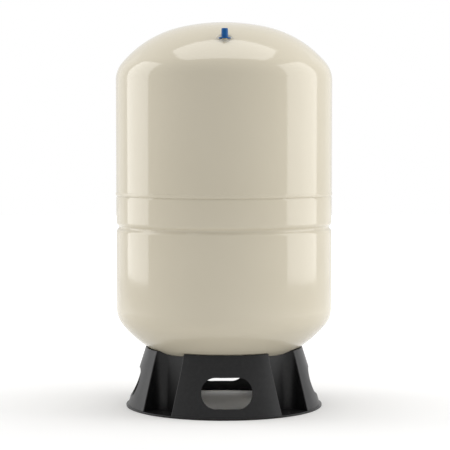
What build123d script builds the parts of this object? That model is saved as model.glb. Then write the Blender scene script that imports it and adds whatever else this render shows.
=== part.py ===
from build123d import *
from math import acos, asin, atan, cos, degrees, hypot, radians, sin, sqrt, tan
import os

# Well pressure tank: a welded steel tank with a diaphragm inside, on a moulded stand.
# Millimetres. +Z is up, the floor is Z = 0, the tank's axis is Z, and the front is -Y.
os.makedirs("parts", exist_ok=True)

# Steel tank
tank_radius = 195.0
shell_wall = 1.6
side_length = 409.5  # straight side between the two domes
bottom_clearance = 74.5  # lowest point of the tank above the floor
crown_radius = 353.0  # flattest part of a dome, round its pole
crown_angle = 13.1  # from the pole to the end of the crown
shoulder_inset = 3.0  # how much the shoulder's radius is less than the tank's
knuckle_radius = 48.85  # where the dome turns into the straight side
pad_radius = 32.0  # flat at the bottom pole, for the water connection
skin_gap = 0.1  # between parts that are pressed on each other

# Weld seam, where the lower shell slips inside the upper one
seam_level = 382.0
lap_above_seam = 12.0
joggle_height = 5.0
joggle_radius = 3.0
bead_above = 3.2
bead_below = 2.5
bead_proud = 0.5

# Rolled groove, which closes on the clench ring
groove_level = 325.0
groove_half_height = 6.5
groove_depth = 5.85  # to the sharp point of the V, before it is rounded
groove_lip_radius = 8.0
groove_valley_radius = 4.0

# Water side
liner_wall = 1.2
liner_above_groove = 17.0
diaphragm_wall = 3.0
diaphragm_above_groove = 24.0
clench_wall = 1.3
clench_half_height = 21.0

# Water connection, a one inch male stub
stub_radius = 16.6
stub_bore_radius = 12.5
stub_thread_length = 15.45  # the part that a pipe screws on
stub_shank_radius = 18.0  # where the nut clamps it, above the thread
stub_shank_below_nut = 0.5
stub_hole_gap = 0.4
stub_flange_radius = 27.0
stub_flange_height = 4.2
stub_flange_gap = 0.4
oring_radius = 23.0
oring_section = 3.0
oring_groove_gap = 0.15
guard_radius = 19.0
guard_height = 2.4
guard_seat_depth = 1.6
guard_hole_radius = 3.0
guard_hole_circle = 8.6
guard_hole_count = 6
washer_radius = 29.0
washer_height = 1.5
nut_across_flats = 46.0
nut_height = 5.0
nut_chamfer = 0.6
diaphragm_lift = 0.4  # between the port guard and the diaphragm that rests above it

# Stand
rim_radius = 142.0
seat_hold = 2.292  # how far the rim stands above the tank's bottom at the seat's inner edge
foot_radius = 174.2
lip_radius = 177.6
lip_height = 3.5
lip_fillet = 1.0
stand_wall = 3.0
seat_inner_radius = 133.0
seat_height = 9.0
seat_gap = 0.3
recess_half_width = 34.0
recess_back = 126.0  # from the tank's axis to the middle of a recess's back wall
recess_bow = 2.0
recess_corner = 18.0
panel_edge_fillet = 1.4
window_width = 88.5
window_height = 52.0
window_level = 44.25
window_corner = 25.0
anchor_circle_radius = 160.0
anchor_hole_radius = 3.25
corner_count = 4

# Studs under the tank that hold the stand
stud_circle_radius = 114.0
stud_radius = 3.0
stud_tail = 1.8  # below its nut
ear_drop = 23.0  # from the rim to the underside of an ear
ear_height = 4.0
ear_radius = 11.0
ear_hole_radius = 3.5
gusset_height = 24.0
gusset_wall = 3.0
ear_washer_radius = 6.2
ear_washer_height = 1.2
ear_nut_across_flats = 10.0
ear_nut_height = 5.0

# Air valve, which stands upright in a scoop on the front of the dome
valve_inset = 48.0  # from the tank's side in to the valve's axis
valve_turn = -1.3  # degrees round from the middle of the front window
scoop_depth = 0.9  # below the dome's outside, on the valve's axis
scoop_radius = 14.0
valve_root_length = 12.27  # below the scoop's floor
valve_root_radius = 5.5
valve_shoulder = 0.8  # above the scoop's floor
valve_stem_radius = 3.85
valve_height = 14.73  # above the scoop's floor
valve_bore_radius = 2.6
valve_seat_drop = 10.0  # below the valve's top
valve_seat_height = 1.5
valve_throat_radius = 2.1
core_gap = 0.05
core_top_drop = 1.2
core_plug_height = 4.3
core_neck_radius = 1.7
core_barrel_length = 7.0
core_floor_wall = 1.5
core_chamber_radius = 1.5
core_barrel_radius = 2.0
pin_radius = 0.6
pin_gap = 0.08
pin_top_drop = 0.6
pin_collar_radius = 1.2
pin_collar_height = 0.6
pin_seal_height = 0.8
pin_disc_radius = 1.8
pin_disc_height = 1.0
pin_seal_gap = 0.1
pin_tail = 1.5
spring_room = 10.0  # from the chamber's floor to the pin's collar
spring_coil_radius = 1.1
spring_wire_radius = 0.15
spring_turns = 7

# Valve cap
cap_clearance = 1.45  # above the scoop's floor
cap_flange_radius = 10.6
cap_flange_height = 2.1
cap_foot_radius = 5.9
cap_head_radius = 5.5
cap_top_chamfer = 0.7
cap_foot_fillet = 0.8
cap_gap = 0.1
cap_seal_gap = 0.2  # above the valve's top
cap_seal_height = 1.3
cap_roof = 3.1

# Worked out from the sizes above
shoulder_radius = tank_radius - shoulder_inset
shoulder_centre = (crown_radius - shoulder_radius) * sin(radians(crown_angle))
shoulder_angle = degrees(
    asin((tank_radius - knuckle_radius - shoulder_centre) / (shoulder_radius - knuckle_radius))
)
crown_drop = crown_radius * (1 - cos(radians(crown_angle)))
shoulder_drop = shoulder_radius * (cos(radians(crown_angle)) - cos(radians(shoulder_angle)))
dome_height = crown_drop + shoulder_drop + knuckle_radius * cos(radians(shoulder_angle))
lower_tangent = bottom_clearance + dome_height
upper_tangent = lower_tangent + side_length
tank_top = upper_tangent + dome_height
pad_angle = degrees(asin(pad_radius / crown_radius))
lap_radius = tank_radius - shell_wall - skin_gap
liner_inset = shell_wall + skin_gap
diaphragm_inset = liner_inset + liner_wall + skin_gap
clench_inset = diaphragm_inset + diaphragm_wall + skin_gap
stub_hole_radius = stub_shank_radius + stub_hole_gap
first_corner = 180 / corner_count  # degrees round from +X, half way between two windows


# How far the outside of a dome's shoulder lies from the pole's level, at a distance from the axis
def shoulder_depth(reach):
    from_pole = crown_radius - (crown_radius - shoulder_radius) * cos(radians(crown_angle))
    return from_pole - sqrt(shoulder_radius**2 - (reach - shoulder_centre) ** 2)


rim_level = bottom_clearance + shoulder_depth(seat_inner_radius) + seat_hold
stand_slope = (foot_radius - rim_radius) / (rim_level - lip_height)
ear_level = rim_level - ear_drop
valve_reach = tank_radius - valve_inset
scoop_level = tank_top - shoulder_depth(valve_reach) - scoop_depth


def pad_level(inset):
    return bottom_clearance + crown_radius - (crown_radius - inset) * cos(radians(pad_angle))


def stand_radius(level):
    return rim_radius + stand_slope * (rim_level - level)


def hexagon_radius(across_flats):
    return across_flats / 2 / cos(radians(30))


# A dome at some depth below the tank's outside, from the side to the given angle at the pole.
# Its three arcs stay tangent at any depth.
def dome_arcs(start, heading, turn, inset, end_angle):
    knuckle = JernArc(start, heading, knuckle_radius - inset, turn * (90 - shoulder_angle))
    shoulder = JernArc(
        knuckle @ 1, knuckle % 1, shoulder_radius - inset, turn * (shoulder_angle - crown_angle)
    )
    return JernArc(shoulder @ 1, shoulder % 1, crown_radius - inset, turn * (crown_angle - end_angle))


# The corners of the rolled groove at some depth below the tank's outside, and their radii.
# Each radius changes with the depth, so parts that are rolled together nest.
def groove_corners(inset):
    slope = atan(groove_depth / groove_half_height)
    half_height = groove_half_height + inset * tan(slope / 2)
    side = tank_radius - inset
    valley = tank_radius - groove_depth - inset / cos(slope)
    return [
        (side, groove_level + half_height),
        (valley, groove_level),
        (side, groove_level - half_height),
    ]


def groove_radii(inset):
    return [groove_lip_radius - inset, groove_valley_radius + inset, groove_lip_radius - inset]


# The joggle that lets the lower shell slip inside the upper one.
def joggle_corners(inset):
    slope = atan((tank_radius - lap_radius) / joggle_height)
    drop = inset * tan(slope / 2)
    joggle_top = seam_level - skin_gap - drop
    return [
        (lap_radius - inset, joggle_top),
        (tank_radius - inset, joggle_top - joggle_height),
    ]


def joggle_radii(inset):
    return [joggle_radius + inset, joggle_radius + shell_wall - inset]


# Upper shell, with the weld bead at its foot and a scoop for the air valve
valve_end_level = scoop_level - valve_root_length
valve_x = valve_reach * sin(radians(valve_turn))
valve_y = -valve_reach * cos(radians(valve_turn))
valve_axis = Axis((valve_x, valve_y, 0), (0, 0, 1))
valve_section = Plane(origin=(valve_x, valve_y, 0), x_dir=(1, 0, 0), z_dir=(0, -1, 0))
bead_root_radius = lap_radius + skin_gap + (tank_radius - lap_radius) * bead_below / joggle_height

with BuildPart() as dome_body:
    with BuildSketch(Plane.XZ) as dome_body_section:
        with BuildLine():
            side = Line((tank_radius, seam_level + bead_above), (tank_radius, upper_tangent))
            crown = dome_arcs(side @ 1, (0, 1), 1, 0, 0)
            Polyline(crown @ 1, (0, seam_level + bead_above), side @ 0)
        make_face()
    revolve()

with BuildPart() as scoop_wall:
    with BuildSketch(Plane.XY.offset(scoop_level - shell_wall)) as scoop_wall_circle:
        with Locations((valve_x, valve_y)):
            Circle(scoop_radius + shell_wall)
    extrude(amount=tank_top - scoop_level)
    add(dome_body.part, mode=Mode.INTERSECT)

with BuildPart() as upper_shell:
    with BuildSketch(Plane.XZ) as upper_section:
        with BuildLine():
            inner_side = Line(
                (tank_radius - shell_wall, seam_level),
                (tank_radius - shell_wall, upper_tangent),
            )
            inner_crown = dome_arcs(inner_side @ 1, (0, 1), 1, shell_wall, 0)
            outer_side = Line((tank_radius, seam_level + bead_above), (tank_radius, upper_tangent))
            outer_crown = dome_arcs(outer_side @ 1, (0, 1), 1, 0, 0)
            Line(inner_crown @ 1, outer_crown @ 1)
            bead = ThreePointArc(
                outer_side @ 0,
                (tank_radius + bead_proud, seam_level + bead_above / 2),
                (bead_root_radius, seam_level - bead_below),
            )
            Line(bead @ 1, inner_side @ 0)
        make_face()
    revolve()
    add(scoop_wall.part)
    with BuildSketch(Plane.XY.offset(scoop_level)) as scoop_circle:
        with Locations((valve_x, valve_y)):
            Circle(scoop_radius)
    extrude(amount=tank_top - scoop_level, mode=Mode.SUBTRACT)
    with BuildSketch(Plane.XY.offset(valve_end_level)) as valve_hole:
        with Locations((valve_x, valve_y)):
            Circle(valve_root_radius + skin_gap)
    extrude(amount=tank_top - valve_end_level, mode=Mode.SUBTRACT)
upper_shell.part.label = "upper_shell"
export_step(upper_shell.part, "parts/upper_shell.step")

# Lower shell, with the joggle, the rolled groove and the flat for the water connection
lap_top = seam_level + lap_above_seam

with BuildPart() as lower_shell:
    with BuildSketch(Plane.XZ) as lower_section:
        with BuildLine():
            outer_side = FilletPolyline(
                (lap_radius, lap_top),
                *joggle_corners(0),
                *groove_corners(0),
                (tank_radius, lower_tangent),
                radius=joggle_radii(0) + groove_radii(0),
            )
            outer_crown = dome_arcs(outer_side @ 1, (0, -1), -1, 0, pad_angle)
            inner_side = FilletPolyline(
                (lap_radius - shell_wall, lap_top),
                *joggle_corners(shell_wall),
                *groove_corners(shell_wall),
                (tank_radius - shell_wall, lower_tangent),
                radius=joggle_radii(shell_wall) + groove_radii(shell_wall),
            )
            inner_crown = dome_arcs(inner_side @ 1, (0, -1), -1, shell_wall, pad_angle)
            Line(outer_side @ 0, inner_side @ 0)
            Polyline(
                outer_crown @ 1,
                (stub_hole_radius, pad_level(0)),
                (stub_hole_radius, pad_level(shell_wall)),
                inner_crown @ 1,
            )
        make_face()
    revolve()
lower_shell.part.label = "lower_shell"
export_step(lower_shell.part, "parts/lower_shell.step")

# Liner of the water side, held by its edge in the groove
with BuildPart() as liner:
    with BuildSketch(Plane.XZ) as liner_section:
        liner_top = groove_level + liner_above_groove
        liner_inside = liner_inset + liner_wall
        with BuildLine():
            outer_side = FilletPolyline(
                (tank_radius - liner_inset, liner_top),
                *groove_corners(liner_inset),
                (tank_radius - liner_inset, lower_tangent),
                radius=groove_radii(liner_inset),
            )
            outer_crown = dome_arcs(outer_side @ 1, (0, -1), -1, liner_inset, pad_angle)
            inner_side = FilletPolyline(
                (tank_radius - liner_inside, liner_top),
                *groove_corners(liner_inside),
                (tank_radius - liner_inside, lower_tangent),
                radius=groove_radii(liner_inside),
            )
            inner_crown = dome_arcs(inner_side @ 1, (0, -1), -1, liner_inside, pad_angle)
            Line(outer_side @ 0, inner_side @ 0)
            Polyline(
                outer_crown @ 1,
                (stub_hole_radius, pad_level(liner_inset)),
                (stub_hole_radius, pad_level(liner_inside)),
                inner_crown @ 1,
            )
        make_face()
    revolve()
liner.part.label = "liner"
export_step(liner.part, "parts/liner.step")

# Water connection: a stub with a flange inside the tank and a seat for the port guard
washer_foot = pad_level(0) - washer_height
shank_foot = washer_foot - nut_height - stub_shank_below_nut
stub_end_level = shank_foot - stub_thread_length
liner_floor = pad_level(liner_inset + liner_wall)
flange_foot = liner_floor + stub_flange_gap
flange_top = flange_foot + stub_flange_height
guard_foot = flange_top - guard_seat_depth
guard_top = guard_foot + guard_height
oring_groove_top = liner_floor + oring_section + oring_groove_gap
oring_groove_half_width = oring_section / 2 + oring_groove_gap

with BuildPart() as water_connection:
    with BuildSketch(Plane.XZ) as stub_section:
        with BuildLine():
            Polyline(
                (stub_bore_radius, stub_end_level),
                (stub_radius, stub_end_level),
                (stub_radius, shank_foot),
                (stub_shank_radius, shank_foot),
                (stub_shank_radius, flange_foot),
                (stub_flange_radius, flange_foot),
                (stub_flange_radius, flange_top),
                (guard_radius + skin_gap, flange_top),
                (guard_radius + skin_gap, guard_foot),
                (stub_bore_radius, guard_foot),
                close=True,
            )
        make_face()
        with Locations((oring_radius, (flange_foot + oring_groove_top) / 2)):
            Rectangle(
                2 * oring_groove_half_width, oring_groove_top - flange_foot, mode=Mode.SUBTRACT
            )
    revolve()
water_connection.part.label = "water_connection"
export_step(water_connection.part, "parts/water_connection.step")

with BuildPart() as connection_oring:
    with BuildSketch(Plane.XZ) as oring_circle:
        with Locations((oring_radius, liner_floor + oring_section / 2)):
            Circle(oring_section / 2)
    revolve()
connection_oring.part.label = "connection_oring"
export_step(connection_oring.part, "parts/connection_oring.step")

with BuildPart() as port_guard:
    with BuildSketch(Plane.XY.offset(guard_foot)) as guard_outline:
        Circle(guard_radius)
        Circle(guard_hole_radius, mode=Mode.SUBTRACT)
        with PolarLocations(guard_hole_circle, guard_hole_count):
            Circle(guard_hole_radius, mode=Mode.SUBTRACT)
    extrude(amount=guard_height)
port_guard.part.label = "port_guard"
export_step(port_guard.part, "parts/port_guard.step")

with BuildPart() as connection_washer:
    with BuildSketch(Plane.XY.offset(washer_foot)) as washer_outline:
        Circle(washer_radius)
        Circle(stub_hole_radius, mode=Mode.SUBTRACT)
    extrude(amount=washer_height)
connection_washer.part.label = "connection_washer"
export_step(connection_washer.part, "parts/connection_washer.step")

with BuildPart() as connection_nut:
    with BuildSketch(Plane.XY.offset(washer_foot - nut_height)) as nut_outline:
        RegularPolygon(hexagon_radius(nut_across_flats), 6)
        Circle(stub_shank_radius + core_gap, mode=Mode.SUBTRACT)
    extrude(amount=nut_height)
    nut_rim = connection_nut.edges().filter_by(GeomType.LINE).filter_by(Axis.Z, reverse=True)
    chamfer(nut_rim, nut_chamfer)
connection_nut.part.label = "connection_nut"
export_step(connection_nut.part, "parts/connection_nut.step")

# Diaphragm, lying on the liner as it does with air above it and no water below it.
# Its flat bottom rests over the port guard.
flat_level = guard_top + diaphragm_lift
flat_reach = crown_radius - diaphragm_inset
flat_angle = degrees(acos((bottom_clearance + crown_radius - flat_level) / flat_reach))

with BuildPart() as diaphragm:
    with BuildSketch(Plane.XZ) as diaphragm_section:
        diaphragm_top = groove_level + diaphragm_above_groove
        diaphragm_inside = diaphragm_inset + diaphragm_wall
        with BuildLine():
            outer_side = FilletPolyline(
                (tank_radius - diaphragm_inset, diaphragm_top),
                *groove_corners(diaphragm_inset),
                (tank_radius - diaphragm_inset, lower_tangent),
                radius=groove_radii(diaphragm_inset),
            )
            outer_crown = dome_arcs(outer_side @ 1, (0, -1), -1, diaphragm_inset, flat_angle)
            inner_side = FilletPolyline(
                (tank_radius - diaphragm_inside, diaphragm_top),
                *groove_corners(diaphragm_inside),
                (tank_radius - diaphragm_inside, lower_tangent),
                radius=groove_radii(diaphragm_inside),
            )
            inner_crown = dome_arcs(inner_side @ 1, (0, -1), -1, diaphragm_inside, flat_angle)
            Line(outer_side @ 0, inner_side @ 0)
            Polyline(
                outer_crown @ 1,
                (0, (outer_crown @ 1).Y),
                (0, (inner_crown @ 1).Y),
                inner_crown @ 1,
            )
        make_face()
    revolve()
diaphragm.part.label = "diaphragm"
export_step(diaphragm.part, "parts/diaphragm.step")

# Clench ring, which the groove is rolled onto from outside
with BuildPart() as clench_ring:
    with BuildSketch(Plane.XZ) as clench_section:
        clench_inside = clench_inset + clench_wall
        clench_top = groove_level + clench_half_height
        clench_foot = groove_level - clench_half_height
        with BuildLine():
            outer_side = FilletPolyline(
                (tank_radius - clench_inset, clench_top),
                *groove_corners(clench_inset),
                (tank_radius - clench_inset, clench_foot),
                radius=groove_radii(clench_inset),
            )
            inner_side = FilletPolyline(
                (tank_radius - clench_inside, clench_top),
                *groove_corners(clench_inside),
                (tank_radius - clench_inside, clench_foot),
                radius=groove_radii(clench_inside),
            )
            Line(outer_side @ 0, inner_side @ 0)
            Line(outer_side @ 1, inner_side @ 1)
        make_face()
    revolve()
clench_ring.part.label = "clench_ring"
export_step(clench_ring.part, "parts/clench_ring.step")


# The room that the tank's bottom takes, with a little air round it
def tank_room(gap):
    with BuildPart() as room:
        with BuildSketch(Plane.XZ) as room_section:
            with BuildLine():
                side = Line((tank_radius + gap, seam_level), (tank_radius + gap, lower_tangent))
                crown = dome_arcs(side @ 1, (0, -1), -1, -gap, 0)
                Polyline(crown @ 1, (0, seam_level), side @ 0)
            make_face()
        revolve()
    return room.part


# One recess seen from above, pointing along +X, enlarged all round by a wall
def recess_outline(wall):
    half_width = recess_half_width + wall
    back = recess_back - wall
    with BuildSketch() as outline:
        with BuildLine():
            ThreePointArc(
                (back + recess_bow, -half_width), (back, 0), (back + recess_bow, half_width)
            )
            Polyline(
                (back + recess_bow, half_width),
                (2 * lip_radius, half_width),
                (2 * lip_radius, -half_width),
                (back + recess_bow, -half_width),
            )
        make_face()
        fillet(outline.vertices().sort_by(Axis.X)[:2], recess_corner + wall)
    return outline.sketch


# The long slanted edges where a panel meets the side walls of its neighbouring recesses
def on_panel_edge(edge):
    middle = edge @ 0.5
    from_diagonal = abs(abs(middle.X) - abs(middle.Y)) / hypot(1, 1)
    on_slope = abs(hypot(middle.X, middle.Y) - stand_radius(middle.Z)) < skin_gap
    on_recess_side = abs(from_diagonal - recess_half_width) < skin_gap
    return on_slope and on_recess_side and edge.length > rim_level / 2


# Stand: four slanted panels with windows, and four recesses with upright walls between them
recess = recess_outline(0)
walled_recess = recess_outline(stand_wall)
seat_room = tank_room(seat_gap)

with BuildPart() as stand_inside:
    with BuildSketch(Plane.XZ) as inside_section:
        wall_across = stand_wall * hypot(1, stand_slope)
        seat_foot = rim_level - seat_height
        with BuildLine():
            Polyline(
                (0, 0),
                (stand_radius(0) - wall_across, 0),
                (stand_radius(seat_foot - stand_wall) - wall_across, seat_foot - stand_wall),
                (seat_inner_radius, seat_foot),
                (seat_inner_radius, rim_level),
                (0, rim_level),
                close=True,
            )
        make_face()
    revolve()
    with BuildSketch() as recess_backs:
        with PolarLocations(0, corner_count, start_angle=first_corner):
            add(walled_recess)
    extrude(amount=rim_level, mode=Mode.SUBTRACT)

with BuildPart() as base_stand:
    with BuildSketch(Plane.XZ) as stand_section:
        with BuildLine():
            Polyline(
                (0, 0),
                (lip_radius, 0),
                (lip_radius, lip_height),
                (stand_radius(lip_height), lip_height),
                (rim_radius, rim_level),
                (0, rim_level),
                close=True,
            )
        make_face()
        fillet(stand_section.vertices().sort_by(Axis.X)[-2:], lip_fillet)
    revolve()
    with BuildSketch(Plane.XY.offset(lip_height)) as recesses:
        with PolarLocations(0, corner_count, start_angle=first_corner):
            add(recess)
    extrude(amount=rim_level, mode=Mode.SUBTRACT)
    fillet(base_stand.edges().filter_by(on_panel_edge), panel_edge_fillet)
    add(stand_inside.part, mode=Mode.SUBTRACT)
    for face_plane in (Plane.XZ, Plane.YZ):
        with BuildSketch(face_plane) as window:
            with Locations((0, window_level)):
                RectangleRounded(window_width, window_height, window_corner)
        extrude(amount=2 * lip_radius, both=True, mode=Mode.SUBTRACT)
    with BuildSketch(Plane.XY) as anchor_holes:
        with PolarLocations(anchor_circle_radius, corner_count, start_angle=first_corner):
            Circle(anchor_hole_radius)
    extrude(amount=lip_height, mode=Mode.SUBTRACT)
    with BuildSketch(Plane.XY.offset(ear_level)) as ears:
        with PolarLocations(stud_circle_radius, corner_count, start_angle=first_corner):
            Circle(ear_radius)
            Rectangle(
                recess_back - stud_circle_radius - stand_wall / 2,
                2 * ear_radius,
                align=(Align.MIN, Align.CENTER),
            )
    extrude(amount=ear_height)
    with BuildSketch(Plane.XY.offset(ear_level)) as ear_holes:
        with PolarLocations(stud_circle_radius, corner_count, start_angle=first_corner):
            Circle(ear_hole_radius)
    extrude(amount=ear_height, mode=Mode.SUBTRACT)
    for corner in range(corner_count):
        turn = first_corner + corner * 360 / corner_count
        for side_sign in (-1, 1):
            gusset_plane = Plane.XZ.rotated((0, 0, turn)).offset(
                side_sign * (ear_radius - gusset_wall / 2)
            )
            wall_face = recess_back - stand_wall / 2
            with BuildSketch(gusset_plane) as gusset:
                with BuildLine():
                    Polyline(
                        (wall_face, ear_level),
                        (stud_circle_radius, ear_level),
                        (wall_face, ear_level - gusset_height),
                        close=True,
                    )
                make_face()
            extrude(amount=gusset_wall / 2, both=True)
    add(seat_room, mode=Mode.SUBTRACT)
base_stand.part.label = "base_stand"
export_step(base_stand.part, "parts/base_stand.step")

# Weld studs under the tank, with the washers and nuts that hold the stand's ears
weld_room = tank_room(skin_gap / 2)
ear_washer_foot = ear_level - ear_washer_height
ear_nut_foot = ear_washer_foot - ear_nut_height
stud_end_level = ear_nut_foot - stud_tail

with BuildPart() as base_studs:
    with BuildSketch(Plane.XY.offset(stud_end_level)) as stud_circles:
        with PolarLocations(stud_circle_radius, corner_count, start_angle=first_corner):
            Circle(stud_radius)
    extrude(amount=lower_tangent - stud_end_level)
    add(weld_room, mode=Mode.SUBTRACT)
base_studs.part.label = "base_studs"
export_step(base_studs.part, "parts/base_studs.step")

with BuildPart() as base_washers:
    with BuildSketch(Plane.XY.offset(ear_washer_foot)) as ear_washer_circles:
        with PolarLocations(stud_circle_radius, corner_count, start_angle=first_corner):
            Circle(ear_washer_radius)
            Circle(stud_radius + skin_gap, mode=Mode.SUBTRACT)
    extrude(amount=ear_washer_height)
base_washers.part.label = "base_washers"
export_step(base_washers.part, "parts/base_washers.step")

with BuildPart() as base_nuts:
    with BuildSketch(Plane.XY.offset(ear_nut_foot)) as ear_nut_outlines:
        with PolarLocations(stud_circle_radius, corner_count, start_angle=first_corner):
            RegularPolygon(hexagon_radius(ear_nut_across_flats), 6)
            Circle(stud_radius + core_gap, mode=Mode.SUBTRACT)
    extrude(amount=ear_nut_height)
base_nuts.part.label = "base_nuts"
export_step(base_nuts.part, "parts/base_nuts.step")

# Air valve body, brazed into the dome
valve_shoulder_level = scoop_level + valve_shoulder
valve_top_level = scoop_level + valve_height
valve_seat_level = valve_top_level - valve_seat_drop

with BuildPart() as valve_body:
    with BuildSketch(valve_section) as body_section:
        with BuildLine():
            Polyline(
                (valve_throat_radius, valve_end_level),
                (valve_root_radius, valve_end_level),
                (valve_root_radius, valve_shoulder_level),
                (valve_stem_radius, valve_shoulder_level),
                (valve_stem_radius, valve_top_level),
                (valve_bore_radius, valve_top_level),
                (valve_bore_radius, valve_seat_level),
                (valve_throat_radius, valve_seat_level - valve_seat_height),
                close=True,
            )
        make_face()
    revolve(axis=valve_axis)
valve_body.part.label = "valve_body"
export_step(valve_body.part, "parts/valve_body.step")

# Valve core: a screwed housing, its gasket, and a sprung pin with a rubber seal
core_top = valve_top_level - core_top_drop
plug_foot = core_top - core_plug_height
barrel_top = valve_seat_level - valve_seat_height
core_barrel_end = barrel_top - core_barrel_length
core_chamber_floor = core_barrel_end + core_floor_wall
pin_collar_level = core_chamber_floor + spring_room
pin_collar_top = pin_collar_level + pin_collar_height
pin_bore_radius = pin_radius + pin_gap

with BuildPart() as core_housing:
    with BuildSketch(valve_section) as housing_section:
        with BuildLine():
            Polyline(
                (pin_bore_radius, core_barrel_end),
                (core_barrel_radius, core_barrel_end),
                (core_barrel_radius, barrel_top),
                (core_neck_radius, barrel_top),
                (core_neck_radius, plug_foot),
                (valve_bore_radius - core_gap, plug_foot),
                (valve_bore_radius - core_gap, core_top),
                (pin_bore_radius, core_top),
                (pin_bore_radius, pin_collar_top),
                (core_chamber_radius, pin_collar_top),
                (core_chamber_radius, core_chamber_floor),
                (pin_bore_radius, core_chamber_floor),
                close=True,
            )
        make_face()
    revolve(axis=valve_axis)
core_housing.part.label = "core_housing"
export_step(core_housing.part, "parts/core_housing.step")

with BuildPart() as core_gasket:
    with BuildSketch(valve_section) as gasket_section:
        gasket_outside = valve_bore_radius - core_gap
        with BuildLine():
            Polyline(
                (core_neck_radius + core_gap, barrel_top + core_gap),
                (valve_throat_radius - core_gap, barrel_top + core_gap),
                (gasket_outside, valve_seat_level + core_gap),
                (gasket_outside, plug_foot - core_gap),
                (core_neck_radius + core_gap, plug_foot - core_gap),
                close=True,
            )
        make_face()
    revolve(axis=valve_axis)
core_gasket.part.label = "core_gasket"
export_step(core_gasket.part, "parts/core_gasket.step")

pin_seal_top = core_barrel_end - pin_seal_gap
disc_top = pin_seal_top - pin_seal_height
disc_foot = disc_top - pin_disc_height

with BuildPart() as core_pin:
    with BuildSketch(valve_section) as pin_section:
        with BuildLine():
            Polyline(
                (0, disc_foot - pin_tail),
                (pin_radius, disc_foot - pin_tail),
                (pin_radius, disc_foot),
                (pin_disc_radius, disc_foot),
                (pin_disc_radius, disc_top),
                (pin_radius, disc_top),
                (pin_radius, pin_collar_level),
                (pin_collar_radius, pin_collar_level),
                (pin_collar_radius, pin_collar_top - pin_gap),
                (pin_radius, pin_collar_top - pin_gap),
                (pin_radius, valve_top_level - pin_top_drop),
                (0, valve_top_level - pin_top_drop),
                close=True,
            )
        make_face()
    revolve(axis=valve_axis)
core_pin.part.label = "core_pin"
export_step(core_pin.part, "parts/core_pin.step")

with BuildPart() as pin_seal:
    with BuildSketch(Plane.XY.offset(disc_top)) as pin_seal_ring:
        with Locations((valve_x, valve_y)):
            Circle(pin_disc_radius)
            Circle(pin_radius + core_gap / 2, mode=Mode.SUBTRACT)
    extrude(amount=pin_seal_height)
pin_seal.part.label = "pin_seal"
export_step(pin_seal.part, "parts/pin_seal.step")

spring_foot = core_chamber_floor + spring_wire_radius
spring_height = pin_collar_level - core_chamber_floor - 2 * spring_wire_radius

with BuildPart() as core_spring:
    with BuildLine() as coil:
        Helix(
            spring_height / spring_turns,
            spring_height,
            spring_coil_radius,
            center=(valve_x, valve_y, spring_foot),
        )
    with BuildSketch(Plane(origin=coil.line @ 0, z_dir=coil.line % 0)) as wire:
        Circle(spring_wire_radius)
    sweep()
core_spring.part.label = "core_spring"
export_step(core_spring.part, "parts/core_spring.step")

# Valve cap, screwed over the stem, with a rubber disc in its head
cap_inside_radius = valve_stem_radius + cap_gap
cap_seal_foot = valve_top_level + cap_seal_gap
cap_inside_top = cap_seal_foot + cap_seal_height
cap_top_level = cap_inside_top + cap_roof
cap_flange_level = scoop_level + cap_clearance
cap_flange_top = cap_flange_level + cap_flange_height

with BuildPart() as valve_cap:
    with BuildSketch(valve_section) as cap_section:
        with BuildLine():
            Polyline(
                (cap_inside_radius, cap_flange_level),
                (cap_flange_radius, cap_flange_level),
                (cap_flange_radius, cap_flange_top),
                (cap_foot_radius, cap_flange_top),
                (cap_head_radius, cap_top_level),
                (0, cap_top_level),
                (0, cap_inside_top),
                (cap_inside_radius, cap_inside_top),
                close=True,
            )
        make_face()
        cap_corners = cap_section.vertices()
        cap_foot = valve_section.from_local_coords(Vector(cap_foot_radius, cap_flange_top))
        fillet(cap_corners.sort_by_distance(cap_foot)[0], cap_foot_fillet)
    revolve(axis=valve_axis)
    chamfer(valve_cap.edges().group_by(Axis.Z)[-1], cap_top_chamfer)
    flange_rim = valve_cap.edges().filter_by(GeomType.CIRCLE).sort_by(SortBy.RADIUS)[-2:]
    fillet(flange_rim, cap_foot_fillet)
valve_cap.part.label = "valve_cap"
export_step(valve_cap.part, "parts/valve_cap.step")

with BuildPart() as cap_seal:
    with BuildSketch(Plane.XY.offset(cap_seal_foot)) as cap_seal_circle:
        with Locations((valve_x, valve_y)):
            Circle(cap_inside_radius - core_gap)
    extrude(amount=cap_seal_height)
cap_seal.part.label = "cap_seal"
export_step(cap_seal.part, "parts/cap_seal.step")
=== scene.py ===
from math import atan, atan2, ceil, cos, degrees, hypot, pi, radians, sin, sqrt, tan

import bmesh
import bpy
from mathutils import Matrix, Vector


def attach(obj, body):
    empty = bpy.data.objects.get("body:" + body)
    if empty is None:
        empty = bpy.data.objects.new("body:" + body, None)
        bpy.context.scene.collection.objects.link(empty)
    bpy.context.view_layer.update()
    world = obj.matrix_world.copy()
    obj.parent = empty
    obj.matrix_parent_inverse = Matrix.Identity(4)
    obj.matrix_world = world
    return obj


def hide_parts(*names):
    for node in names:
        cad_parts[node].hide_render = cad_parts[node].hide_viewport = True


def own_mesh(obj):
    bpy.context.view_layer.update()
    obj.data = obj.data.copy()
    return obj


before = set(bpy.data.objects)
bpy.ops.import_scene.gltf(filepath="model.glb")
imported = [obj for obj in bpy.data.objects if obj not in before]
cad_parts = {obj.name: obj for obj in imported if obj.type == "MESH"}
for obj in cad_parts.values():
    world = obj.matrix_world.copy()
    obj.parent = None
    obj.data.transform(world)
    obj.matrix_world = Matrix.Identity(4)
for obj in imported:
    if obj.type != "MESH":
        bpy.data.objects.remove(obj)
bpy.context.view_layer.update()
scene = bpy.context.scene
scene.view_settings.view_transform = "Standard"
mm = 0.001

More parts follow.
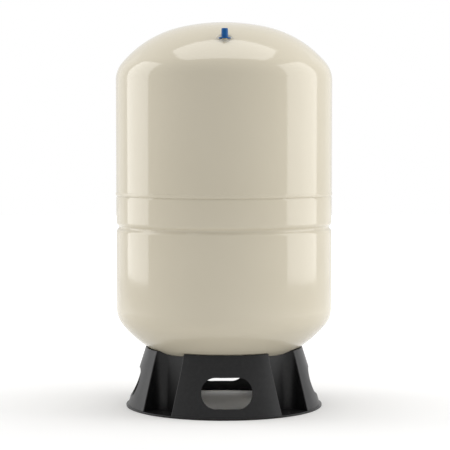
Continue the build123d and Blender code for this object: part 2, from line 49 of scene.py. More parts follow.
# Camera, at the photograph's place, in metres
viewpoint = {
    "distance": 2.8915,  # from the tank's axis
    "height": 0.469,
    "turn": -1.8,  # degrees round from the middle of the front window
    "tilt": 2.808,  # degrees below level
    "aside": 0.0018,  # the axis stands a little left of the picture's middle
    "lens": 127.72,
    "sensor": 36,
}


def placeCamera():
    turn = radians(viewpoint["turn"])
    ahead = Vector((-sin(turn), cos(turn), 0))
    toRight = Vector((cos(turn), sin(turn), 0))
    spot = toRight * viewpoint["aside"] - ahead * viewpoint["distance"]
    camera = bpy.data.objects.new("camera", bpy.data.cameras.new("camera"))
    camera.location = (spot.x, spot.y, viewpoint["height"])
    camera.rotation_euler = (radians(90 - viewpoint["tilt"]), 0, turn)
    camera.data.sensor_width = viewpoint["sensor"]
    camera.data.lens = viewpoint["lens"]
    scene.collection.objects.link(camera)
    scene.camera = camera


placeCamera()
print("camera placed")


# Shader helpers: a node with its settings and inputs, where an input is a value or another node's output
def addNode(tree, kind, inputs=None, **settings):
    node = tree.nodes.new("ShaderNode" + kind)
    for name, value in settings.items():
        setattr(node, name, value)
    for name, value in (inputs or {}).items():
        if isinstance(value, bpy.types.NodeSocket):
            tree.links.new(value, node.inputs[name])
        else:
            node.inputs[name].default_value = value
    return node


def noiseOf(tree, place, scale, detail, roughness=0.5):
    inputs = {"Vector": place, "Scale": scale, "Detail": detail, "Roughness": roughness}
    return addNode(tree, "TexNoise", inputs).outputs["Fac"]


# Carries a value from one range over to another
def rangeOf(tree, value, fromLow=0.0, fromHigh=1.0, low=0.0, high=1.0):
    limits = {"Value": value, "From Min": fromLow, "From Max": fromHigh, "To Min": low, "To Max": high}
    return addNode(tree, "MapRange", limits).outputs["Result"]


# Noise mostly lies between 0.3 and 0.7
def spread(tree, noise, low, high):
    return rangeOf(tree, noise, 0.3, 0.7, low, high)


def tintRamp(tree, factor, *stops):
    ramp = addNode(tree, "ValToRGB", {"Fac": factor})
    while len(ramp.color_ramp.elements) < len(stops):
        ramp.color_ramp.elements.new(0.5)
    for element, (position, tint) in zip(ramp.color_ramp.elements, stops):
        element.position = position
        element.color = (*tint, 1)
    return ramp.outputs["Color"]


def bumpOf(tree, height, distance, strength=1.0, under=None):
    inputs = {"Height": height, "Distance": distance, "Strength": strength}
    if under is not None:
        inputs["Normal"] = under
    return addNode(tree, "Bump", inputs).outputs["Normal"]


# Rounds the shading of a piece's corners, without a change of its shape
def roundedEdge(tree, radius):
    return addNode(tree, "Bevel", {"Radius": radius}, samples=6).outputs["Normal"]


def newFinish(name):
    material = bpy.data.materials.new(name)
    material.use_nodes = True
    tree = material.node_tree
    place = addNode(tree, "TexCoord").outputs["Object"]
    return material, tree, tree.nodes["Principled BSDF"], place


def wire(tree, shader, **inputs):
    for name, value in inputs.items():
        socket = shader.inputs[name.replace("_", " ")]
        if isinstance(value, bpy.types.NodeSocket):
            tree.links.new(value, socket)
        else:
            socket.default_value = value


# Studio: two tall softboxes at the sides, two faint cards behind, one softbox overhead, and a white sweep
softboxes = {
    "left": {"place": (-1.66, 0.385, 1.08), "aim": (0, 0.30, 1.0), "size": (1.15, 1.95), "power": 15.0},
    "right": {"place": (1.66, -0.12, 1.08), "aim": (0, -0.04, 1.0), "size": (1.36, 1.95), "power": 17.2},
    "backLeft": {"place": (-1.5, 1.75, 1.0), "aim": (0, 0, 0.8), "size": (0.8, 1.9), "power": 0.9},
    "backRight": {"place": (1.5, 1.75, 1.0), "aim": (0, 0, 0.8), "size": (0.8, 1.9), "power": 0.7},
    "overhead": {"place": (0.02, 0.005, 2.2), "aim": (0.02, 0.006, 0), "size": (1.8, 0.98), "power": 11.5},
}
studio = {
    "floorSize": 16.0,
    "floorTint": (0.95, 0.95, 0.95, 1),
    "floorLift": 1.0,  # what the camera sees on top of the lit floor, where the lamps fade
    "glossLift": 0.35,  # the same for reflections
    "liftReach": (0.5, 1.6),  # from the tank's axis, where the lift starts and where it is full
    "roomLight": 0.64,
    "mirrorLight": 0.85,  # what reflections see of the white room
    "paperRoughness": 0.9,
}


def buildSoftbox(name, box):
    lamp = bpy.data.lights.new(name + "Softbox", "AREA")
    lamp.shape = "RECTANGLE"
    lamp.size, lamp.size_y = box["size"]
    lamp.energy = box["power"]
    softbox = bpy.data.objects.new(name + "Softbox", lamp)
    softbox.location = box["place"]
    facing = Vector(box["aim"]) - Vector(box["place"])
    softbox.rotation_euler = facing.to_track_quat("-Z", "Y").to_euler()
    softbox.visible_camera = False
    scene.collection.objects.link(softbox)


def greaterOf(tree, first, second):
    both = addNode(tree, "Math", operation="MAXIMUM")
    tree.links.new(first, both.inputs[0])
    tree.links.new(second, both.inputs[1])
    return both.outputs[0]


def cameraRays(tree):
    return addNode(tree, "LightPath").outputs["Is Camera Ray"]


def mirrorRays(tree):
    rays = addNode(tree, "LightPath").outputs
    return greaterOf(tree, rays["Is Glossy Ray"], rays["Is Transmission Ray"])


def buildStudio():
    for name, box in softboxes.items():
        buildSoftbox(name, box)
    room = bpy.data.worlds.new("room")
    room.use_nodes = True
    tree = room.node_tree
    seen = rangeOf(tree, cameraRays(tree), low=studio["roomLight"])
    mirrored = rangeOf(tree, mirrorRays(tree), high=studio["mirrorLight"])
    strength = greaterOf(tree, seen, mirrored)
    tree.nodes["Background"].inputs["Color"].default_value = (1, 1, 1, 1)
    tree.links.new(strength, tree.nodes["Background"].inputs["Strength"])
    scene.world = room

    half = studio["floorSize"] / 2
    mesh = bpy.data.meshes.new("floor")
    corners = [(-half, -half, 0), (half, -half, 0), (half, half, 0), (-half, half, 0)]
    mesh.from_pydata(corners, [], [(0, 1, 2, 3)])
    floor = bpy.data.objects.new("floor", mesh)
    scene.collection.objects.link(floor)
    paper, tree, shader, place = newFinish("floorPaper")
    wire(tree, shader, Base_Color=studio["floorTint"], Roughness=studio["paperRoughness"])
    wire(tree, shader, Specular_IOR_Level=0.0)
    wire(tree, shader, Emission_Color=(1, 1, 1, 1))
    away = addNode(tree, "VectorMath", {"Vector": place}, operation="LENGTH").outputs["Value"]
    near, far = studio["liftReach"]
    seenLift = rangeOf(tree, away, near, far, high=studio["floorLift"])
    mirroredLift = rangeOf(tree, away, near, far, high=studio["glossLift"])
    seen = rangeOf(tree, cameraRays(tree), high=seenLift)
    mirrored = rangeOf(tree, mirrorRays(tree), high=mirroredLift)
    wire(tree, shader, Emission_Strength=greaterOf(tree, seen, mirrored))
    mesh.materials.append(paper)


buildStudio()
print("studio built")

# Finishes
enamel = {
    "tint": (0.600, 0.545, 0.424),
    "paleTint": (0.620, 0.566, 0.445),
    "gloss": (0.06, 0.11),  # roughness, from the smoothest to the dullest spot
    "ior": 1.52,
    "cloudScale": 3.5,  # of the two tints
    "patchScale": 45,  # of the dull spots
    "peelScale": 240,
    "peelDepth": 0.02 * mm,
    "sheetScale": 8,  # of the slow waves in the drawn sheet
    "sheetDepth": 0.25 * mm,
}


def enamelFinish():
    material, tree, shader, place = newFinish("creamEnamel")
    cloud = noiseOf(tree, place, enamel["cloudScale"], detail=3)
    patches = noiseOf(tree, place, enamel["patchScale"], detail=4, roughness=0.6)
    swells = noiseOf(tree, place, enamel["sheetScale"], detail=1)
    orangePeel = noiseOf(tree, place, enamel["peelScale"], detail=2)
    sheet = bumpOf(tree, swells, enamel["sheetDepth"])
    peel = bumpOf(tree, orangePeel, enamel["peelDepth"], under=sheet)
    wire(
        tree,
        shader,
        Base_Color=tintRamp(tree, cloud, (0.35, enamel["tint"]), (0.65, enamel["paleTint"])),
        Roughness=spread(tree, patches, *enamel["gloss"]),
        IOR=enamel["ior"],
        Normal=peel,
    )
    return material


standPlastic = {
    "tint": (0.0065, 0.0065, 0.007),
    "paleTint": (0.011, 0.011, 0.0115),
    "shine": 0.30,
    "gloss": (0.30, 0.42),
    "flowScale": 14,
    "scuffScale": 160,
    "grainScale": 1500,
    "grainDepth": 0.03 * mm,
    "grainStrength": 0.8,
    "edge": 0.7 * mm,  # radius of its corners
}


def standFinish():
    material, tree, shader, place = newFinish("blackStandPlastic")
    flow = noiseOf(tree, place, standPlastic["flowScale"], detail=5, roughness=0.6)
    scuffs = noiseOf(tree, place, standPlastic["scuffScale"], detail=6, roughness=0.7)
    pits = noiseOf(tree, place, standPlastic["grainScale"], detail=2)
    softEdge = roundedEdge(tree, standPlastic["edge"])
    grain = bumpOf(tree, pits, standPlastic["grainDepth"], standPlastic["grainStrength"], softEdge)
    wire(
        tree,
        shader,
        Base_Color=tintRamp(tree, scuffs, (0.42, standPlastic["tint"]), (0.72, standPlastic["paleTint"])),
        Roughness=spread(tree, flow, *standPlastic["gloss"]),
        Specular_IOR_Level=standPlastic["shine"],
        Normal=grain,
    )
    return material


capPlastic = {
    "tint": (0.003, 0.086, 0.280),
    "paleTint": (0.004, 0.097, 0.310),
    "shine": 0.22,
    "gloss": (0.28, 0.38),
    "flowScale": 180,
    "skinScale": 2600,
    "skinDepth": 0.01 * mm,
    "skinStrength": 0.7,
    "edge": 0.25 * mm,
}


def capFinish():
    material, tree, shader, place = newFinish("blueCapPlastic")
    flow = noiseOf(tree, place, capPlastic["flowScale"], detail=3)
    pores = noiseOf(tree, place, capPlastic["skinScale"], detail=2)
    softEdge = roundedEdge(tree, capPlastic["edge"])
    skin = bumpOf(tree, pores, capPlastic["skinDepth"], capPlastic["skinStrength"], softEdge)
    wire(
        tree,
        shader,
        Base_Color=tintRamp(tree, flow, (0.4, capPlastic["tint"]), (0.7, capPlastic["paleTint"])),
        Roughness=spread(tree, flow, *capPlastic["gloss"]),
        Specular_IOR_Level=capPlastic["shine"],
        Normal=skin,
    )
    return material


# Metals share their turning marks: noise drawn out round the part
metals = {
    "turnedBrass": {
        "tint": (0.62, 0.42, 0.15),
        "darkTint": (0.50, 0.33, 0.11),
        "gloss": (0.24, 0.40),
        "marks": 5200,
    },
    "turnedStainless": {
        "tint": (0.55, 0.54, 0.52),
        "darkTint": (0.44, 0.43, 0.41),
        "gloss": (0.24, 0.38),
        "marks": 3600,
    },
    "zincPlate": {
        "tint": (0.60, 0.60, 0.57),
        "darkTint": (0.47, 0.46, 0.40),
        "gloss": (0.34, 0.52),
        "marks": 900,
    },
    "bareSteel": {
        "tint": (0.42, 0.42, 0.43),
        "darkTint": (0.30, 0.30, 0.31),
        "gloss": (0.34, 0.50),
        "marks": 1200,
    },
}
metalMarks = {
    "stretch": (0.02, 0.02, 1),
    "depth": 0.01 * mm,
    "strength": 0.8,
    "stainScale": 130,
}


def metalFinish(name):
    values = metals[name]
    material, tree, shader, place = newFinish(name)
    mapping = addNode(tree, "Mapping", {"Vector": place, "Scale": metalMarks["stretch"]})
    stretched = mapping.outputs["Vector"]
    marks = noiseOf(tree, stretched, values["marks"], detail=3, roughness=0.6)
    stain = noiseOf(tree, place, metalMarks["stainScale"], detail=4, roughness=0.6)
    wire(
        tree,
        shader,
        Base_Color=tintRamp(tree, stain, (0.35, values["darkTint"]), (0.6, values["tint"])),
        Roughness=spread(tree, stain, *reversed(values["gloss"])),
        Metallic=1.0,
        Normal=bumpOf(tree, marks, metalMarks["depth"], metalMarks["strength"]),
    )
    return material


# Soft black rubber and the pale moulded plastic of the water side
softFinishes = {
    "butylRubber": {
        "tint": (0.016, 0.016, 0.017),
        "paleTint": (0.030, 0.030, 0.030),
        "gloss": (0.55, 0.72),
        "grain": 420,
    },
    "sealRubber": {
        "tint": (0.014, 0.014, 0.014),
        "paleTint": (0.024, 0.024, 0.024),
        "gloss": (0.45, 0.62),
        "grain": 1900,
    },
    "linerPlastic": {
        "tint": (0.66, 0.66, 0.60),
        "paleTint": (0.72, 0.72, 0.67),
        "gloss": (0.38, 0.52),
        "grain": 700,
    },
}
softGrain = {
    "ior": 1.5,
    "cloudScale": 30,
    "depth": 0.03 * mm,
    "strength": 0.6,
}


def softFinish(name):
    values = softFinishes[name]
    material, tree, shader, place = newFinish(name)
    cloud = noiseOf(tree, place, softGrain["cloudScale"], detail=4, roughness=0.6)
    grain = noiseOf(tree, place, values["grain"], detail=2)
    wire(
        tree,
        shader,
        Base_Color=tintRamp(tree, cloud, (0.35, values["tint"]), (0.65, values["paleTint"])),
        Roughness=spread(tree, cloud, *values["gloss"]),
        IOR=softGrain["ior"],
        Normal=bumpOf(tree, grain, softGrain["depth"], softGrain["strength"]),
    )
    return material


finishes = {
    "creamEnamel": enamelFinish(),
    "blackStandPlastic": standFinish(),
    "blueCapPlastic": capFinish(),
}
finishes.update({name: metalFinish(name) for name in metals})
finishes.update({name: softFinish(name) for name in softFinishes})
print("finishes mixed:", len(finishes))


# Joins two rings of vertices by a band of faces, where the first ring may be a single pole
def bridge(body, first, second):
    for k in range(len(second)):
        after = (k + 1) % len(second)
        if len(first) == 1:
            body.faces.new((first[0], second[k], second[after]))
        else:
            body.faces.new((first[k], second[k], second[after], first[after]))


def meshOf(name, body):
    bmesh.ops.recalc_face_normals(body, faces=body.faces)
    mesh = bpy.data.meshes.new(name)
    body.to_mesh(mesh)
    body.free()
    return mesh


# Turned shapes: a closed outline of (radius, level) points carried round the Z axis
def turnedMesh(name, outline, angles, wave=None):
    body = bmesh.new()
    rings = []
    for radius, level in outline:
        ring = []
        for angle in angles:
            reach = radius + (wave(angle, radius, level) if wave else 0)
            ring.append(body.verts.new((reach * cos(angle), reach * sin(angle), level)))
        rings.append(ring)
    for first, second in zip(rings, rings[1:] + rings[:1]):
        bridge(body, first, second)
    return meshOf(name, body)


def addPiece(name, mesh, finish, body, replaced=(), creaseAngle=40):
    mesh.materials.clear()
    mesh.materials.append(finishes[finish])
    mesh.shade_smooth()
    mesh.set_sharp_from_angle(angle=radians(creaseAngle))
    piece = bpy.data.objects.new(name, mesh)
    scene.collection.objects.link(piece)
    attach(piece, body)
    if replaced:
        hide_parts(*replaced)
    return piece


def evenAngles(count):
    return [2 * pi * k / count for k in range(count)]


def evenSteps(low, high, count):
    return [low + (high - low) * k / count for k in range(count + 1)]


# Replaces each inner corner of an outline by an arc that touches both its lines
def roundCorners(points, radii, degreesPerStep=6):
    outline = [tuple(points[0])]
    for before, corner, after, radius in zip(points, points[1:], points[2:], radii):
        corner = Vector(corner)
        toBefore = (Vector(before) - corner).normalized()
        toAfter = (Vector(after) - corner).normalized()
        half = toBefore.angle(toAfter) / 2
        centre = corner + (toBefore + toAfter).normalized() * radius / sin(half)
        start = corner + toBefore * radius / tan(half) - centre
        end = corner + toAfter * radius / tan(half) - centre
        turn = atan2(start.x * end.y - start.y * end.x, start.dot(end))
        for share in evenSteps(0, 1, max(2, ceil(abs(degrees(turn)) / degreesPerStep))):
            point = centre + Matrix.Rotation(turn * share, 2) @ start
            outline.append((point.x, point.y))
    outline.append(tuple(points[-1]))
    return outline


# Steel tank
tank = {
    "radius": 195 * mm,
    "wall": 1.6 * mm,
    "bottom": 74.5 * mm,
    "side": 409.5 * mm,
    "crownRadius": 353 * mm,
    "crownAngle": 13.1,  # degrees from the pole
    "shoulderRadius": 192 * mm,
    "shoulderAngle": 50,
    "padRadius": 32 * mm,
    "connectionHole": 18.4 * mm,
    "columns": 240,
    "sideRows": 9,  # rings of the upper half's straight side
    "knuckleRows": 18,
    "shoulderRows": 26,
    "padRows": 5,
}
seam = {
    "level": 382 * mm,
    "lapAbove": 12 * mm,
    "lapDrop": 1.7 * mm,
    "joggleHeight": 5 * mm,
    "joggleRadius": 3 * mm,
    "clearance": 0.1 * mm,  # under the upper half's edge
}
groove = {
    "level": 325 * mm,
    "halfHeight": 6.5 * mm,
    "depth": 5.85 * mm,
    "lipRadius": 8 * mm,
    "valleyRadius": 4 * mm,
}


# The three arcs of a dome, each with its centre's radius, its centre's depth below the pole, its own
# radius and the angle where it ends
def domeArcs():
    crown, shoulder = tank["crownRadius"], tank["shoulderRadius"]
    crownAngle, shoulderAngle = radians(tank["crownAngle"]), radians(tank["shoulderAngle"])
    shoulderOut = (crown - shoulder) * sin(crownAngle)
    shoulderDown = crown - (crown - shoulder) * cos(crownAngle)
    knuckle = (tank["radius"] - shoulderOut - shoulder * sin(shoulderAngle)) / (1 - sin(shoulderAngle))
    knuckleDown = shoulderDown - (shoulder - knuckle) * cos(shoulderAngle)
    return [
        (0, crown, crown, crownAngle),
        (shoulderOut, shoulderDown, shoulder, shoulderAngle),
        (tank["radius"] - knuckle, knuckleDown, knuckle, pi / 2),
    ]


arcs = domeArcs()
domeHeight = arcs[-1][1]
lowerTangent = tank["bottom"] + domeHeight
upperTangent = lowerTangent + tank["side"]
tankTop = upperTangent + domeHeight


# Reach and depth below the pole of the dome's skin, set in by the wall for its inner side
def domePoint(angle, inset):
    out, down, radius, _ = next(arc for arc in arcs if angle <= arc[-1] + 1e-9)
    return out + (radius - inset) * sin(angle), down - (radius - inset) * cos(angle)


def domeDrop(reach):
    ends = (out + radius * sin(end) for out, _, radius, end in arcs)
    out, down, radius, _ = next((arc for arc, end in zip(arcs, ends) if reach <= end), arcs[-1])
    return down - sqrt(max(0.0, radius**2 - (reach - out) ** 2))


# Air valve and the scoop pressed in the dome for it
valve = {
    "reach": 147 * mm,
    "turn": -1.3,  # degrees
    "scoopLevel": 652.26 * mm,
    "scoopRadius": 14 * mm,
    "scoopBlend": 5 * mm,
    "rootRadius": 5.5 * mm,
    "rootLap": 0.4 * mm,  # how far the dome's skin runs in under the root
    "rootTop": 653.06 * mm,
    "foot": 640 * mm,
    "top": 667 * mm,
}
# Mesh of the dome round the scoop, with its turns and slopes in degrees
scoopMesh = {
    "softness": 0.5 * mm,  # of the edge where the scoop meets the dome
    "halfTurn": 8.5,
    "turnSteps": 64,
    "restSteps": 190,  # for the rest of the way round
    "slopes": (28, 43),
    "slopeSteps": 76,
    "affected": (20, 55),  # slopes that the scoop can reach
    "rowsAbove": (10, 14),  # the crown, and the shoulder above the scoop
    "rowsBelow": 7,
}
valveAxis = Vector(
    (valve["reach"] * sin(radians(valve["turn"])), -valve["reach"] * cos(radians(valve["turn"])), 0)
)


# Eases from 0 to 1
def smoothShare(value):
    value = min(1.0, max(0.0, value))
    return value * value * (3 - 2 * value)


# Level of the dome's skin once the scoop is pressed into it
def scoopedLevel(x, y, level, floorLevel):
    away = hypot(x - valveAxis.x, y - valveAxis.y)
    rim = valve["scoopRadius"] + valve["scoopBlend"] / 2
    share = smoothShare((rim - away) / valve["scoopBlend"])
    if share == 0:
        return level
    above = level - floorLevel
    depth = (above + hypot(above, scoopMesh["softness"])) / 2
    return level - share * depth


def buildUpperShell():
    valveAngle = atan2(valveAxis.y, valveAxis.x)
    half = scoopMesh["halfTurn"]
    fine = evenSteps(radians(-half), radians(half), scoopMesh["turnSteps"])
    coarse = evenSteps(radians(half), radians(360 - half), scoopMesh["restSteps"])[1:-1]
    angles = [valveAngle + turn for turn in fine + coarse]
    fineStart, fineEnd = scoopMesh["slopes"]
    crownRows, rowsAbove = scoopMesh["rowsAbove"]
    slopes = [0]
    for low, high, rows in (
        (0, tank["crownAngle"], crownRows),
        (tank["crownAngle"], fineStart, rowsAbove),
        (fineStart, fineEnd, scoopMesh["slopeSteps"]),
        (fineEnd, tank["shoulderAngle"], scoopMesh["rowsBelow"]),
        (tank["shoulderAngle"], 90, tank["knuckleRows"]),
    ):
        slopes += evenSteps(low, high, rows)[1:]
    scoopStart, scoopEnd = scoopMesh["affected"]
    body = bmesh.new()
    shells = []
    for inset in (0.0, tank["wall"]):
        floorLevel = valve["scoopLevel"] - inset
        rings = []
        for slope in slopes:
            reach, drop = domePoint(radians(slope), inset)
            ring = []
            for angle in angles if slope > 0 else angles[:1]:
                x, y = reach * cos(angle), reach * sin(angle)
                level = tankTop - drop
                if scoopStart < slope < scoopEnd:
                    level = scoopedLevel(x, y, level, floorLevel)
                ring.append(body.verts.new((x, y, level)))
            rings.append(ring)
        side = tank["radius"] - inset
        for level in reversed(evenSteps(seam["level"], upperTangent, tank["sideRows"])[:-1]):
            rings.append([body.verts.new((side * cos(a), side * sin(a), level)) for a in angles])
        shells.append(rings)
    outside, inside = shells
    foot = [(outside[-1], inside[-1])]
    for upper, lower in list(zip(outside, outside[1:])) + list(zip(inside, inside[1:])) + foot:
        bridge(body, upper, lower)
    holeRadius = valve["rootRadius"] - valve["rootLap"]
    underValve = [
        face for face in body.faces if (face.calc_center_median() - valveAxis).xy.length < holeRadius
    ]
    bmesh.ops.delete(body, geom=underValve, context="FACES")
    mesh = meshOf("upperShell", body)
    return addPiece("upperShell", mesh, "creamEnamel", "tank", ["upper_shell"])


# Side of the lower half, from the edge of its lap down over the joggle and the groove
def shellSide(inset):
    lapRadius = tank["radius"] - seam["lapDrop"]
    joggleSlope = atan(seam["lapDrop"] / seam["joggleHeight"])
    joggleTop = seam["level"] - seam["clearance"] - inset * tan(joggleSlope / 2)
    slope = atan(groove["depth"] / groove["halfHeight"])
    halfHeight = groove["halfHeight"] + inset * tan(slope / 2)
    side = tank["radius"] - inset
    corners = [
        (lapRadius - inset, seam["level"] + seam["lapAbove"]),
        (lapRadius - inset, joggleTop),
        (side, joggleTop - seam["joggleHeight"]),
        (side, groove["level"] + halfHeight),
        (tank["radius"] - groove["depth"] - inset / cos(slope), groove["level"]),
        (side, groove["level"] - halfHeight),
        (side, lowerTangent),
    ]
    radii = [
        seam["joggleRadius"] + inset,
        seam["joggleRadius"] + tank["wall"] - inset,
        groove["lipRadius"] - inset,
        groove["valleyRadius"] + inset,
        groove["lipRadius"] - inset,
    ]
    return roundCorners(corners, radii)


def buildLowerShell():
    shoulderAngle, crownAngle = radians(tank["shoulderAngle"]), radians(tank["crownAngle"])
    padAngle = atan(tank["padRadius"] / sqrt(tank["crownRadius"] ** 2 - tank["padRadius"] ** 2))
    walls = []
    for inset in (0.0, tank["wall"]):
        outline = shellSide(inset)
        slopes = evenSteps(pi / 2, shoulderAngle, tank["knuckleRows"])[1:]
        slopes += evenSteps(shoulderAngle, crownAngle, tank["shoulderRows"])[1:]
        slopes += evenSteps(crownAngle, padAngle, tank["padRows"])[1:]
        for slope in slopes:
            reach, drop = domePoint(slope, inset)
            outline.append((reach, tank["bottom"] + drop))
        outline.append((tank["connectionHole"], outline[-1][1]))
        walls.append(outline)
    outline = walls[0] + walls[1][::-1]
    mesh = turnedMesh("lowerShell", outline, evenAngles(tank["columns"]))
    return addPiece("lowerShell", mesh, "creamEnamel", "tank", ["lower_shell"])


# Weld bead over the seam, with the ripples that the torch left
bead = {
    "above": 5.4 * mm,
    "below": 1.2 * mm,
    "proud": 0.6 * mm,
    "flank": 1.0,  # rise over run of its two edges
    "sunk": 0.1 * mm,  # its edges, under the steel's skin
    "backing": 1 * mm,  # its hidden back, inside the skin
    "rows": 32,
    "columns": 1440,
    "ripple": 0.10 * mm,
    "rippleLength": 5.2 * mm,
    "rippleBend": 2.2,  # how far a ripple's ends trail its middle
    "sway": 0.9,  # unevenness of the ripples' spacing
    "sways": 7,  # in one round
}


# Rises from 0 along a flank and levels off at the bead's full height
def beadRise(fromEdge):
    rise = bead["flank"] * fromEdge
    return rise * bead["proud"] / (rise**4 + bead["proud"] ** 4) ** 0.25


def buildWeldBead():
    top, foot = seam["level"] + bead["above"], seam["level"] - bead["below"]
    middle, halfHeight = (top + foot) / 2, (top - foot) / 2
    footRadius = tank["radius"] - seam["lapDrop"] * bead["below"] / seam["joggleHeight"]
    outline = []
    for turn in evenSteps(-1, 1, bead["rows"]):
        skin = tank["radius"] if turn > 0 else tank["radius"] + (footRadius - tank["radius"]) * -turn
        radius = skin - bead["sunk"] + beadRise(halfHeight * (1 - abs(turn)))
        outline.append((radius, middle + halfHeight * turn))
    outline += [(tank["radius"] - bead["backing"], top), (footRadius - bead["backing"], foot)]
    ripples = round(2 * pi * tank["radius"] / bead["rippleLength"])

    def ripple(angle, radius, level):
        across = min(1.0, abs(level - middle) / halfHeight)
        trail = bead["rippleBend"] * across**2 + bead["sway"] * sin(bead["sways"] * angle)
        return bead["ripple"] * sin(ripples * angle + trail) * (1 - across**2)

    mesh = turnedMesh("weldBead", outline, evenAngles(bead["columns"]), wave=ripple)
    return addPiece("weldBead", mesh, "creamEnamel", "tank")


# Braze fillet round the valve's root, with the enamel that runs on up the root to its shoulder
fillet = {
    "width": 2.4 * mm,
    "height": 1.6 * mm,
    "belowShoulder": 0.4 * mm,  # it stays this far under the root's shoulder
    "waves": ((3, 0.12, 0.6), (8, 0.06, 0)),  # unevenness: waves in one round, share of the height, phase
    "paint": 0.08 * mm,
    "paintLap": 0.5 * mm,  # of the enamel on the shoulder
    "paintEdge": 0.3 * mm,
    "sunk": 0.05 * mm,  # its outer edge, under the skin
    "rows": 8,
    "columns": 64,
}


def skinNearValve(angle, away):
    x, y = valveAxis.x + away * cos(angle), valveAxis.y + away * sin(angle)
    return x, y, scoopedLevel(x, y, tankTop - domeDrop(hypot(x, y)), valve["scoopLevel"])


def filletHeight(angle, room):
    uneven = 1 + sum(share * sin(count * angle + phase) for count, share, phase in fillet["waves"])
    return min(fillet["height"] * uneven, room)


def buildBrazeFillet():
    body = bmesh.new()
    angles = evenAngles(fillet["columns"])
    painted = valve["rootRadius"] + fillet["paint"]
    shoulder = valve["rootTop"] + fillet["paint"]
    paintEdges = ((painted - fillet["paintLap"], shoulder), (painted, shoulder - fillet["paintEdge"]))
    rings = []
    for away, level in paintEdges:
        rings.append([body.verts.new((*skinNearValve(angle, away)[:2], level)) for angle in angles])
    for share in evenSteps(0, 1, fillet["rows"]):
        ring = []
        for angle in angles:
            room = shoulder - fillet["belowShoulder"] - skinNearValve(angle, painted)[2]
            x, y, skin = skinNearValve(angle, painted + fillet["width"] * share)
            level = skin + filletHeight(angle, room) * (1 - share) ** 2 - fillet["sunk"] * share
            ring.append(body.verts.new((x, y, level)))
        rings.append(ring)
    for inner, outer in zip(rings, rings[1:]):
        bridge(body, inner, outer)
    mesh = meshOf("brazeFillet", body)
    return addPiece("brazeFillet", mesh, "creamEnamel", "tank")


buildUpperShell()
buildLowerShell()
buildWeldBead()
buildBrazeFillet()
print("tank shells turned")


# Form of both screw threads
threadForm = {
    "steepness": 1.3,  # of the flanks
    "crest": 0.15,  # flat of the crest, before the flank goes down
    "creaseAngle": 50,
}


# A screw thread's depth below its crest, for a point round and along a turned part
def threadDepth(angle, level, pitch, depth):
    share = (level / pitch - angle / (2 * pi)) % 1.0
    flank = abs(2 * share - 1)
    return depth * min(1.0, max(0.0, threadForm["steepness"] * flank - threadForm["crest"]))


# Water connection: the threaded stub with its flange, and the pipe thread cut on it
stub = {
    "radius": 16.6 * mm,
    "boreRadius": 12.5 * mm,
    "boreEdge": 0.5 * mm,
    "end": 53.5 * mm,
    "endEdge": 0.2 * mm,
    "chamfer": 1.1 * mm,  # length over which the thread comes up to its full height
    "flangeFoot": 79.24 * mm,
    "flangeTop": 83.44 * mm,
    "flangeRadius": 27 * mm,
    "guardSeat": 81.84 * mm,
    "guardRadius": 19.1 * mm,
    "sealInside": 21.35 * mm,
    "sealOutside": 24.65 * mm,
    "sealTop": 81.99 * mm,
    "threadPitch": 2.209 * mm,
    "threadDepth": 1.35 * mm,
    "threadTop": 67.6 * mm,
    "neckDepth": 0.5 * mm,  # of the plain stretch above the thread
    "shankRadius": 18 * mm,
    "shankFoot": 68.95 * mm,
    "shankEdge": 0.4 * mm,
    "rowsPerTurn": 9,
    "columns": 96,
}


def buildStub():
    end, threadTop, shankFoot = stub["end"], stub["threadTop"], stub["shankFoot"]
    endEdge, shankEdge, boreEdge = stub["endEdge"], stub["shankEdge"], stub["boreEdge"]
    neckRadius = stub["radius"] - stub["neckDepth"]
    rows = ceil((threadTop - end) / (stub["threadPitch"] / stub["rowsPerTurn"]))
    outline = [
        (stub["boreRadius"], stub["guardSeat"]),
        (stub["boreRadius"], end + boreEdge),
        (stub["boreRadius"] + boreEdge, end),
        (stub["radius"] - stub["threadDepth"] - endEdge, end),
    ]
    outline += [(stub["radius"], level) for level in evenSteps(end + endEdge, threadTop, rows)]
    outline += [
        (neckRadius, threadTop + shankEdge),
        (neckRadius, shankFoot),
        (stub["shankRadius"] - shankEdge, shankFoot),
        (stub["shankRadius"], shankFoot + shankEdge),
        (stub["shankRadius"], stub["flangeFoot"]),
        (stub["sealInside"], stub["flangeFoot"]),
        (stub["sealInside"], stub["sealTop"]),
        (stub["sealOutside"], stub["sealTop"]),
        (stub["sealOutside"], stub["flangeFoot"]),
        (stub["flangeRadius"], stub["flangeFoot"]),
        (stub["flangeRadius"], stub["flangeTop"]),
        (stub["guardRadius"], stub["flangeTop"]),
        (stub["guardRadius"], stub["guardSeat"]),
    ]

    def thread(angle, radius, level):
        if radius != stub["radius"] or level > threadTop:
            return 0
        lead = smoothShare((level - end) / stub["chamfer"])
        cut = threadDepth(angle, level, stub["threadPitch"], stub["threadDepth"])
        return -max(cut, (1 - lead) * stub["threadDepth"])

    mesh = turnedMesh("waterConnection", outline, evenAngles(stub["columns"]), wave=thread)
    replaced, crease = ["water_connection"], threadForm["creaseAngle"]
    return addPiece("waterConnection", mesh, "turnedStainless", "tank", replaced, crease)


# Valve stem with its fine thread
stem = {
    "radius": 3.85 * mm,
    "boreRadius": 2.6 * mm,
    "boreEdge": 0.2 * mm,
    "throatRadius": 2.1 * mm,
    "seatLevel": 657 * mm,
    "seatHeight": 1.5 * mm,  # of the cone down to the throat
    "rootEdge": 0.3 * mm,
    "neckProud": 0.01 * mm,  # tells the plain neck's rings from the thread's
    "neckGap": 0.1 * mm,
    "threadPitch": 0.794 * mm,
    "threadDepth": 0.42 * mm,
    "threadLength": 13 * mm,
    "chamfer": 0.6 * mm,
    "rowsPerTurn": 7,
    "columns": 72,
}


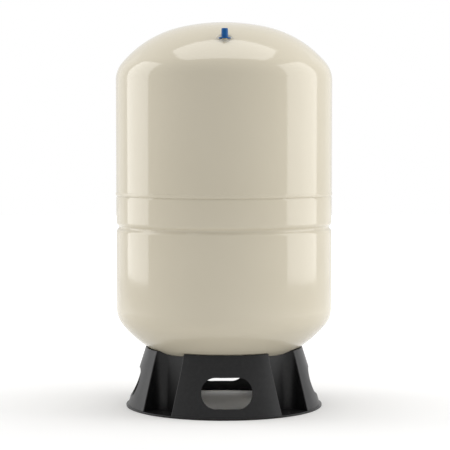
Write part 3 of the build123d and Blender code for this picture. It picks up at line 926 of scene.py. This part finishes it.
def buildValveStem():
    top, rootTop, rootRadius = valve["top"], valve["rootTop"], valve["rootRadius"]
    neckRadius = stem["radius"] + stem["neckProud"]
    threadFoot = top - stem["threadLength"]
    rows = ceil(stem["threadLength"] / (stem["threadPitch"] / stem["rowsPerTurn"]))
    outline = [
        (stem["throatRadius"], valve["foot"]),
        (rootRadius, valve["foot"]),
        (rootRadius, rootTop - stem["rootEdge"]),
        (rootRadius - stem["rootEdge"], rootTop),
        (neckRadius, rootTop),
        (neckRadius, threadFoot - stem["neckGap"]),
    ]
    outline += [(stem["radius"], level) for level in evenSteps(threadFoot, top, rows)]
    outline += [
        (stem["boreRadius"] + stem["boreEdge"], top),
        (stem["boreRadius"], top - stem["boreEdge"]),
        (stem["boreRadius"], stem["seatLevel"]),
        (stem["throatRadius"], stem["seatLevel"] - stem["seatHeight"]),
    ]

    def thread(angle, radius, level):
        if radius != stem["radius"]:
            return 0
        lead = smoothShare((top - level) / stem["chamfer"])
        cut = threadDepth(angle, level, stem["threadPitch"], stem["threadDepth"])
        return -max(cut, (1 - lead) * stem["threadDepth"])

    mesh = turnedMesh("valveStem", outline, evenAngles(stem["columns"]), wave=thread)
    mesh.transform(Matrix.Translation(valveAxis))
    crease = threadForm["creaseAngle"]
    return addPiece("valveStem", mesh, "turnedBrass", "tank", ["valve_body"], crease)


buildStub()
buildValveStem()
print("threads cut")


def buildSpring():
    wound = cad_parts["core_spring"].data.copy()
    coil = addPiece("valveSpring", wound, "bareSteel", "tank", ["core_spring"])
    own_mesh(coil)


buildSpring()
print("spring wound")

# Finishes of the CAD nodes that stay
nodeFinishes = {
    "base_stand": "blackStandPlastic",
    "valve_cap": "blueCapPlastic",
    "clench_ring": "bareSteel",
    "diaphragm": "butylRubber",
    "liner": "linerPlastic",
    "port_guard": "linerPlastic",
    "connection_oring": "sealRubber",
    "core_gasket": "sealRubber",
    "pin_seal": "sealRubber",
    "cap_seal": "sealRubber",
    "connection_washer": "zincPlate",
    "connection_nut": "zincPlate",
    "base_studs": "zincPlate",
    "base_washers": "zincPlate",
    "base_nuts": "zincPlate",
    "core_housing": "turnedBrass",
    "core_pin": "turnedBrass",
}
for node, finish in nodeFinishes.items():
    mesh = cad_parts[node].data
    mesh.materials.clear()
    mesh.materials.append(finishes[finish])
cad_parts["valve_cap"].visible_glossy = False  # the enamel shows no mirror image of the cap
print("nodes finished:", len(nodeFinishes))
